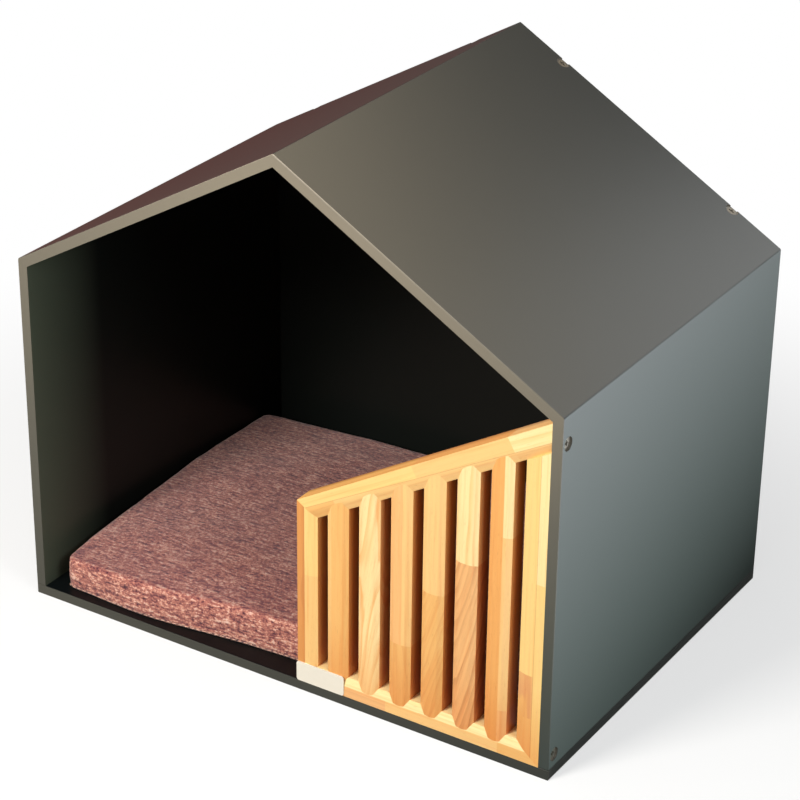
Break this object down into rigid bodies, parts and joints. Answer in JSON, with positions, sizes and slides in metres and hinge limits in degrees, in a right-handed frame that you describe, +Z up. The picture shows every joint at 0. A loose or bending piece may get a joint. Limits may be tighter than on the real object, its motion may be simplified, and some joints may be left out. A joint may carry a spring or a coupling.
{
  "type": "pet house",
  "caption": "Gabled house for a small pet: grey lacquered boards, an open front half closed by a low slatted wooden gate, and a loose cushion inside.",
  "frame": {"origin": "centre of the underside, on the surface that the house stands on", "axes": "-Y out of the open front, +X to the right seen from the front, +Z up"},
  "size_m": [0.5, 0.3608, 0.4558],
  "materials": {
    "lacquered_board": "fibreboard with a satin grey lacquer",
    "gate_wood": "laminated light hardwood, satin clear varnish",
    "plate": "matt cream",
    "screw_steel": "zinc plated",
    "dowel_wood": "plain beech",
    "cushion_cloth": "reddish-brown melange chenille",
    "foam": "upholstery foam"
  },
  "bodies": {
    "house": {"floor_board": "lacquered_board", "left_wall": "lacquered_board", "right_wall": "lacquered_board", "left_roof": "lacquered_board", "right_roof": "lacquered_board", "back_panel": "lacquered_board", "gate_left_stile": "gate_wood", "gate_right_stile": "gate_wood", "gate_top_rail": "gate_wood", "gate_bottom_rail": "gate_wood", "gate_slat_1": "gate_wood", "gate_slat_2": "gate_wood", "gate_slat_3": "gate_wood", "gate_slat_4": "gate_wood", "gate_slat_5": "gate_wood", "gate_slat_6": "gate_wood", "name_plate": "plate", "gate_wall_screws": "screw_steel", "back_roof_screws": "screw_steel", "floor_wall_screws": "screw_steel", "floor_back_screws": "screw_steel", "gate_floor_screws": "screw_steel", "gate_slat_dowels": "dowel_wood", "gate_corner_dowels": "dowel_wood"},
    "cushion": {"cushion_cover": "cushion_cloth", "cushion_foam": "foam"}
  },
  "joints": [
    {"name": "cushion_lift", "type": "slide", "parent": "house", "child": "cushion", "axis": [0, 0, 1], "range_m": [0, 0.25]}
  ]
}
